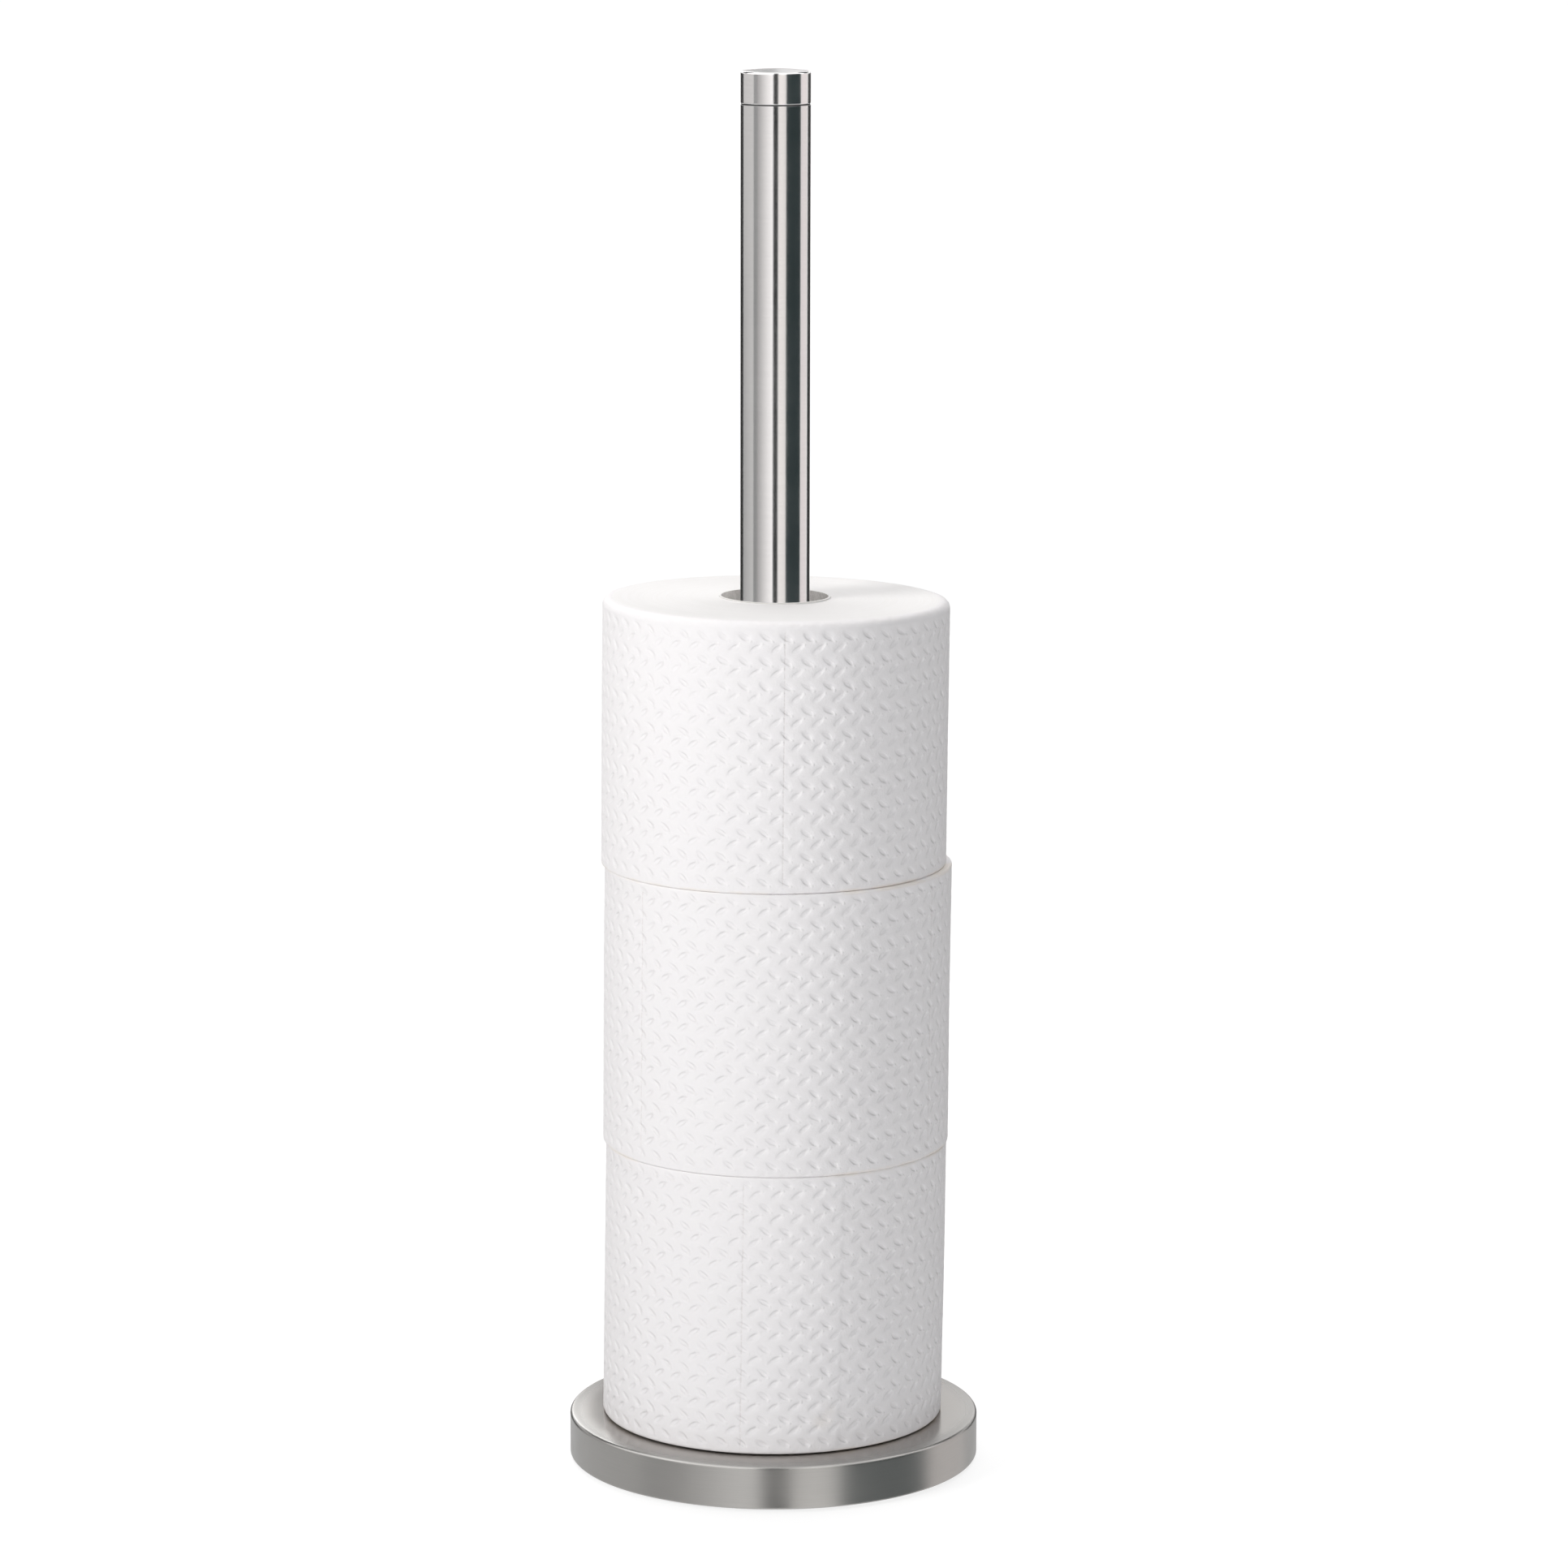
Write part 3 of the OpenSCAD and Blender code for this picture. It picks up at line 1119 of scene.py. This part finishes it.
@dataclass
class Roll:
    """One stored roll: the cardboard core, the wound paper and its embossed outer turns.

    Attributes:
        name: bottom, middle or top.
        radius: outside radius of the paper.
        low_edge_r: radius of the lower edge.
        top_edge_r: radius of the upper edge.
        turn: shift of the pressed pattern round the roll, in repeats.
        tail_angle: where the last sheet ends, in degrees from +X.
        tear_angle: where one of the tear lines is, in degrees from +X.
        seed: seed of the slow unevenness.
        lean: how far the paper leans to the right, as run over rise.
        shift: how far it stands to the right of the post's middle.
        tip: how far its top face falls to the right, as rise over run.
        tip_back: how far it falls to the back.
        crown: how much it rises to the middle.
        rise: how much the top stands above the nominal height.
        hollow: how much the outer turns stand above the foot of the core.
        stained: whether the glue under the last sheet shows through.
        top_seam_shade: how strong the painted seam shade at the upper edge is, as a share of the lower one.
        pale_angle: middle of a stretch where the edges get little painted seam shade, in degrees, or None.
        mirrored: whether the post mirrors the roll; where it doesn't, the post's foot keeps its stripes.
        turns_t: radial depth of the piece that holds the outer turns.
        seat: clearance to the piece above and below.
        lap: clearance round the core, and overlap of the outer turns and the wound paper.
        low: height of the paper's foot.
        high: height of its top.
        core_r: outside radius of the core.
    """

    name: str
    radius: float
    low_edge_r: float = 0.6 * MM
    top_edge_r: float = 0.6 * MM
    turn: float = 0.0
    tail_angle: float = 120.0
    tear_angle: float = 60.0
    seed: float = 1.0
    lean: float = 0.0
    shift: float = 0.0
    tip: float = 0.0
    tip_back: float = 0.0
    crown: float = 0.0
    rise: float = 0.0
    hollow: float = 0.0
    stained: bool = False
    top_seam_shade: float = 1.0
    pale_angle: float | None = None
    mirrored: bool = True
    turns_t: float = 3.0 * MM
    seat: float = 0.04 * MM
    lap: float = 0.05 * MM
    low: float = field(init=False)
    high: float = field(init=False)
    core_r: float = field(init=False)

    def __post_init__(self) -> None:
        """Takes the roll's heights and its core from the frame."""
        low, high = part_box(f"{self.name}_roll_paper")
        self.low, self.high = low.z + self.seat, high.z - self.seat
        self.core_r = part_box(f"{self.name}_roll_core")[1].x

    def build(
        self, outer: GeometryTree, layers: GeometryTree, ends: bpy.types.Material, board: bpy.types.Material
    ) -> None:
        """Builds and dresses the pieces of the roll.

        Args:
            outer: the tree that presses the outer turns.
            layers: the tree that sinks the wound layers.
            ends: material of the end faces.
            board: material of the core.
        """
        tissue = Tissue(f"{self.name}_tissue", self).material()
        turns, body, core = self.outer_turns(), self.wound_body(), self.core()
        shared = {"Radius": self.radius, "Low": self.low, "High": self.high, "Seed": self.seed}
        tail, tear = math.radians(self.tail_angle), math.radians(self.tear_angle)
        outer.apply(turns, tissue, Turn=self.turn, Tail_Angle=tail, Tear_Angle=tear, **shared)
        layers.apply(body, ends, **shared)
        for piece in (turns, body, core):
            self.settle(piece)
            piece.visible_glossy = self.mirrored
        for piece, material in ((turns, tissue), (body, ends)):
            place(piece, f"{self.name}_paper", Slot.TISSUE.value, [f"{self.name}_roll_paper"], material)
        place(core, f"{self.name}_core", Slot.BOARD.value, [f"{self.name}_roll_core"], board)

    def outer_turns(self) -> bpy.types.Object:
        """The outer turns before they are pressed."""
        inner = self.radius - self.turns_t
        rows = round((self.high - self.low) / (PATTERN.pitch_up / ROWS_PER_OVAL))
        columns = COLUMNS_PER_OVAL * PATTERN.repeats
        corners = [
            Corner(inner, self.low),
            Corner(self.radius, self.low, self.low_edge_r, rows=rows - 8),
            Corner(self.radius, self.high, self.top_edge_r),
            Corner(inner, self.high),
        ]
        return turned(f"{self.name}_roll_outer_turns", section(corners, steps=3), columns)

    def wound_body(self) -> bpy.types.Object:
        """The wound paper inside the outer turns, before its layers are sunk."""
        bore, outer = self.core_r + self.lap, self.radius - self.turns_t + self.lap
        corners = [
            Corner(bore, self.low, 0.3 * MM, rows=56),
            Corner(outer, self.low),
            Corner(outer, self.high, rows=56),
            Corner(bore, self.high, 0.3 * MM),
        ]
        return turned(f"{self.name}_roll_wound_paper", section(corners, steps=2), 208)

    def core(self) -> bpy.types.Object:
        """The cardboard tube inside the roll."""
        low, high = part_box(f"{self.name}_roll_core")
        foot, head, bore = low.z + self.seat, high.z - self.seat, bore_of(f"{self.name}_roll_core")
        corners = [
            Corner(bore, foot, 0.15 * MM),
            Corner(self.core_r, foot, 0.15 * MM, rows=6),
            Corner(self.core_r, head, 0.15 * MM),
            Corner(bore, head, 0.15 * MM, rows=6),
        ]
        return turned(f"{self.name}_roll_cardboard", section(corners, steps=2), 128)

    def settle(self, piece: bpy.types.Object) -> None:
        """Leans a piece of the roll as a loosely stacked roll does, with its foot flat on what is below.

        The bore stays on the core and the core on the post's line, so that the paper can turn on it.
        """
        points = np.empty(len(piece.data.vertices) * 3)
        piece.data.vertices.foreach_get("co", points)
        points = points.reshape(-1, 3)
        up = (points[:, 2] - self.low) / (self.high - self.low)
        fall = points[:, 0] * self.tip + points[:, 1] * self.tip_back
        reach = np.hypot(points[:, 0], points[:, 1])
        out = reach / self.radius
        held = self.core_r + 0.5 * MM
        loose = np.clip((reach - held) / (self.radius - self.turns_t - held), 0.0, 1.0)
        points[:, 0] += ((points[:, 2] - (self.low + self.high) / 2) * self.lean + self.shift) * loose
        points[:, 2] += (self.crown * (1 - out) + self.rise - fall) * up + self.hollow * out**2 * (1 - up)
        piece.data.vertices.foreach_set("co", points.ravel())
        piece.data.update()


# The studio


def bare(data: bpy.types.Material | bpy.types.World, kind: str) -> tuple[Desk, bpy.types.Node]:
    """Empties the node tree of a material or the world and gives its desk and a new output node."""
    data.use_nodes = True
    desk = Desk(data.node_tree)
    desk.tree.nodes.clear()
    return desk, desk.node(kind)


@dataclass(frozen=True)
class Card:
    """An upright, curved studio card that only polished surfaces see.

    Attributes:
        start: its left end, in degrees to the right of the camera.
        end: its right end.
        level: its brightness at the left end.
        level_end: its brightness at the right end.
        tint: its colour.
        low: height of its lower edge, in metres.
        high: height of its upper edge, in metres.
        radius: its distance from the post, in metres.
        facet: the angle that one of its faces takes, in degrees.
    """

    start: float
    end: float
    level: float
    level_end: float
    tint: Tint = (1.0, 1.0, 1.0)
    low: float = -5.0
    high: float = 7.0
    radius: float = 4.5
    facet: float = 3.0

    def build(self, name: str) -> None:
        """Builds the card and hangs it in the studio."""
        count = max(2, round(abs(self.end - self.start) / self.facet))
        turn = np.radians(np.linspace(self.start, self.end, count + 1) - 90.0)
        foot = [(self.radius * math.cos(a), self.radius * math.sin(a), self.low) for a in turn]
        head = [(x, y, self.high) for x, y, _ in foot]
        card = meshed(name, foot + head, [(k, k + 1, count + 2 + k, count + 1 + k) for k in range(count)])
        card.data.materials.append(self.material(name))
        card.visible_camera = card.visible_diffuse = card.visible_transmission = False
        card.visible_shadow = card.visible_volume_scatter = False

    def material(self, name: str) -> bpy.types.Material:
        """A glow that changes evenly from one end of the card to the other."""
        material = bpy.data.materials.new(name)
        desk, output = bare(material, "ShaderNodeOutputMaterial")
        x, y, _ = desk.split(desk.object_place())
        inputs = {
            "Value": x.maths("ARCTAN2", y * -1.0),
            "From Min": math.radians(self.start),
            "From Max": math.radians(self.end),
            "To Min": self.level,
            "To Max": self.level_end,
        }
        level = desk.use("ShaderNodeMapRange", inputs)
        desk.fill(output, {"Surface": desk.use("ShaderNodeEmission", {"Color": (*self.tint, 1.0), "Strength": level})})
        material.cycles.emission_sampling = "NONE"
        return material


@dataclass(frozen=True)
class Lamp:
    """A distant soft lamp that polished surfaces don't see.

    Attributes:
        name: what it does.
        side: its direction, in degrees to the right of the camera.
        height: its height, in degrees above the horizon.
        strength: its irradiance.
        softness: the angle that it fills, in degrees.
        colour: its colour.
    """

    name: str
    side: float
    height: float
    strength: float
    softness: float
    colour: Tint = (1.0, 1.0, 1.0)

    def build(self) -> None:
        """Hangs the lamp."""
        light = bpy.data.lights.new(self.name, "SUN")
        light.energy, light.angle, light.color = self.strength, math.radians(self.softness), self.colour
        lamp = hang(self.name, light)
        lamp.rotation_euler = (math.radians(90.0 - self.height), 0.0, math.radians(self.side))
        lamp.visible_glossy = False


@dataclass(frozen=True)
class Softbox:
    """An upright soft lamp beside the object that polished surfaces don't see.

    Attributes:
        name: what it does.
        side: its direction from the post, in degrees to the right of the camera.
        away: its distance from the post, in metres.
        height: height of its middle, in metres.
        power: its power, in watts.
        wide: its width, in metres.
        tall: its height from edge to edge, in metres.
        colour: its colour.
    """

    name: str
    side: float
    away: float
    height: float
    power: float
    wide: float
    tall: float
    colour: Tint

    def build(self) -> None:
        """Hangs the lamp."""
        light = bpy.data.lights.new(self.name, "AREA")
        light.shape = "RECTANGLE"
        light.size, light.size_y = self.wide, self.tall
        light.energy, light.color = self.power, self.colour
        lamp = hang(self.name, light)
        turn = math.radians(self.side)
        lamp.location = (self.away * math.sin(turn), -self.away * math.cos(turn), self.height)
        lamp.rotation_euler = (math.radians(90.0), 0.0, turn)
        lamp.visible_camera = lamp.visible_glossy = False


@dataclass
class Studio:
    """The camera, the pale floor, the white surroundings, the lamps and the cards.

    Attributes:
        lens: focal length for a 36 mm wide frame, in millimetres.
        camera_at: place of the camera, in metres.
        camera_down: how far it looks down, in degrees.
        camera_right: how far it looks to the right, in degrees.
        camera_roll: how far it is tilted to the left, in degrees.
        ambient: brightness of the surroundings on dull surfaces.
        bounce: brightness of the floor on dull surfaces, besides what the lamps give it.
        floor_colour: what the floor sends back.
        floor_glow: what is added for the camera so that the open floor is white.
        floor_reach: half the width of the floor, in metres.
        lamps: the lamps.
        cards: the cards.
    """

    lens: float = 129.44
    camera_at: tuple[float, float, float] = (0.0, -1.983, 0.6036)
    camera_down: float = 10.18
    camera_right: float = 0.0975
    camera_roll: float = 0.115
    ambient: float = 0.09
    bounce: float = 0.36
    floor_colour: float = 0.3
    floor_glow: float = 0.78
    floor_reach: float = 40.0
    lamps: tuple[Lamp | Softbox, ...] = (
        Softbox("key_lamp", -56.0, 1.4, 0.95, 14.6, 0.6, 0.5, (1.0, 0.99, 0.975)),
        Lamp("fill_lamp", 10.0, 0.0, 1.85, 50.0, (0.985, 0.99, 1.0)),
        Lamp("back_lamp", 178.0, 69.0, 2.25, 55.0),
    )
    cards: tuple[Card, ...] = (
        # round the post
        Card(-168, -131.0, 0.04, 0.04, low=-0.9, high=0.65),
        Card(-130.0, -77.3, 0.4, 0.6, (1.0, 0.985, 0.98), low=-0.9, high=0.05),
        Card(-130.0, -77.3, 0.66, 0.68, (1.0, 0.975, 0.965), low=0.05, high=1.5),
        Card(-77.3, -63.5, 0.29, 0.29, low=-0.9, high=0.05),
        Card(-77.3, -63.5, 0.32, 0.32, low=0.05, high=1.5),
        Card(-63.5, -8.4, 0.36, 1.14, (1.0, 0.97, 0.965), low=-0.9, high=1.5),
        Card(-7.7, 8.2, 0.03, 0.03, (0.95, 1.0, 1.0), low=-0.9),
        Card(8.9, 34.4, 0.97, 0.86, (1.0, 0.955, 0.93), low=-0.9, high=1.5),
        Card(34.9, 91.4, 0.033, 0.033, (0.75, 1.1, 1.15), low=-0.9, high=2.8),
        Card(92.8, 127.0, 0.84, 0.86, (1.0, 0.93, 0.925), low=-0.9, high=1.5),
        Card(131.5, 168, 0.04, 0.04, low=-0.9, high=0.65),
        Card(168, 192, 0.58, 0.58, (1.0, 0.93, 0.93), low=-0.9, high=0.9),
        # below them, for the wall of the base
        Card(-180, -110, 0.8, 0.75, high=-0.9),
        Card(-110, -55, 0.75, 0.56, high=-0.9),
        Card(-55, -6.1, 0.56, 1.28, high=-0.9),
        Card(-6.1, 9.8, 0.26, 0.26, high=-0.9),
        Card(9.8, 39, 1.2, 1.2, high=-0.9),
        Card(39, 98.5, 0.28, 0.28, (0.94, 1.02, 1.04), high=-0.9),
        Card(98.5, 140, 1.0, 0.85, (1.0, 0.97, 0.96), high=-0.9),
        Card(140, 180, 0.75, 0.75, high=-0.9),
        # above them, for rounded edges and the flat top of the base
        Card(-112, -1.6, 1.9, 1.9, low=1.5),
        Card(14.6, 38.5, 1.9, 1.9, low=1.5),
        Card(38.5, 95.5, 1.5, 1.5, low=2.8),
        Card(95.5, 112, 1.9, 1.9, low=1.5),
        Card(-160, -114, 0.06, 0.06, low=1.9, high=5.6),
        Card(114, 160, 0.06, 0.06, low=1.9, high=5.6),
        Card(160, 174, 1.5, 1.1, low=0.9, high=3.5),
        Card(174, 180, 1.1, 0.77, low=0.9, high=3.5),
        Card(-180, -176.5, 0.47, 0.47, low=0.9, high=3.5),
        Card(-176.5, -173, 0.47, 2.8, low=0.9, high=3.5),
        Card(-173, -160, 2.8, 3.1, low=0.9, high=3.5),
    )

    def build(self) -> None:
        """Sets the studio up."""
        self.camera()
        self.surroundings()
        self.floor()
        for lamp in self.lamps:
            lamp.build()
        for number, card in enumerate(self.cards):
            card.build(f"studio_card_{number}")
        bpy.context.scene.view_settings.view_transform = "Standard"

    def camera(self) -> None:
        """Places the camera of the photograph."""
        data = bpy.data.cameras.new("camera")
        data.lens, data.sensor_width, data.clip_end = self.lens, 36.0, 200.0
        camera = hang("camera", data)
        camera.matrix_world = (
            Matrix.Translation(self.camera_at)
            @ Matrix.Rotation(math.radians(-self.camera_right), 4, "Z")
            @ Matrix.Rotation(math.radians(90.0 - self.camera_down), 4, "X")
            @ Matrix.Rotation(math.radians(self.camera_roll), 4, "Z")
        )
        bpy.context.scene.camera = camera

    def seen(self, desk: Desk) -> Value:
        """1 for the camera, for reflections and through glass, and 0 for the light on dull surfaces."""
        path = desk.node("ShaderNodeLightPath")
        rays = [Value(desk, path.outputs[name]) for name in ("Is Camera Ray", "Is Glossy Ray", "Is Transmission Ray")]
        return (rays[0] + rays[1] + rays[2]).maths("MINIMUM", 1.0)

    def surroundings(self) -> None:
        """Makes the world white where it is seen, and plain elsewhere."""
        world = bpy.data.worlds.new("studio")
        bpy.context.scene.world = world
        desk, output = bare(world, "ShaderNodeOutputWorld")
        plain = desk.use("ShaderNodeBackground", {"Color": (0.985, 0.99, 1.0, 1.0), "Strength": self.ambient})
        white = desk.use("ShaderNodeBackground", {"Color": WHITE, "Strength": 1.0})
        desk.fill(output, {"Surface": desk.use("ShaderNodeMixShader", {0: self.seen(desk), 1: plain, 2: white})})

    def floor(self) -> None:
        """Lays the pale floor, which keeps the object's shadow."""
        sides = ((-1, -1), (1, -1), (1, 1), (-1, 1))
        floor = meshed("floor", [(x * self.floor_reach, y * self.floor_reach, 0.0) for x, y in sides], [(0, 1, 2, 3)])
        material = bpy.data.materials.new("floor")
        desk, output = bare(material, "ShaderNodeOutputMaterial")
        dull = desk.use("ShaderNodeBsdfDiffuse", {"Color": grey(self.floor_colour)})
        strength = self.seen(desk) * (self.floor_glow - self.bounce) + self.bounce
        glow = desk.use("ShaderNodeEmission", {"Color": WHITE, "Strength": strength})
        desk.fill(output, {"Surface": desk.use("ShaderNodeAddShader", {0: dull, 1: glow})})
        material.cycles.emission_sampling = "NONE"
        floor.data.materials.append(material)
        floor.visible_glossy = False


def rolls() -> tuple[Roll, ...]:
    """The three rolls, from the base upwards."""
    return (
        Roll(
            "bottom",
            61.6 * MM,
            tail_angle=-67.5,
            tear_angle=-100.7,
            seed=1.7,
            stained=True,
            low_edge_r=1.05 * MM,
            lean=0.0138,
            shift=0.21 * MM,
            pale_angle=-107.0,
            hollow=0.35 * MM,
        ),
        Roll(
            "middle",
            62.3 * MM,
            tear_angle=-140.0,
            seed=4.1,
            lean=0.0085,
            shift=0.89 * MM,
            turn=0.3,
            pale_angle=-107.0,
        ),
        Roll(
            "top",
            61.84 * MM,
            top_edge_r=2.5 * MM,
            turns_t=3.5 * MM,
            tear_angle=-87.0,
            seed=7.3,
            lean=0.0085,
            shift=0.08 * MM,
            tip=0.011,
            tip_back=0.006,
            crown=1.3 * MM,
            rise=0.25 * MM,
            top_seam_shade=0.15,
            mirrored=False,
        ),
    )


def main() -> None:
    """Builds the studio and every sub-assembly, and notes the sizes."""
    logging.basicConfig(level=logging.INFO, format="%(name)s: %(message)s")
    Studio().build()
    Base().build()
    Post().build()
    outer, layers = outer_turns_tree(), wound_body_tree()
    ends = WoundEdge("wound_edge").material()
    board = Cardboard("core_board").material()
    for roll in rolls():
        roll.build(outer, layers, ends, board)


if __name__ == "__main__":
    main()
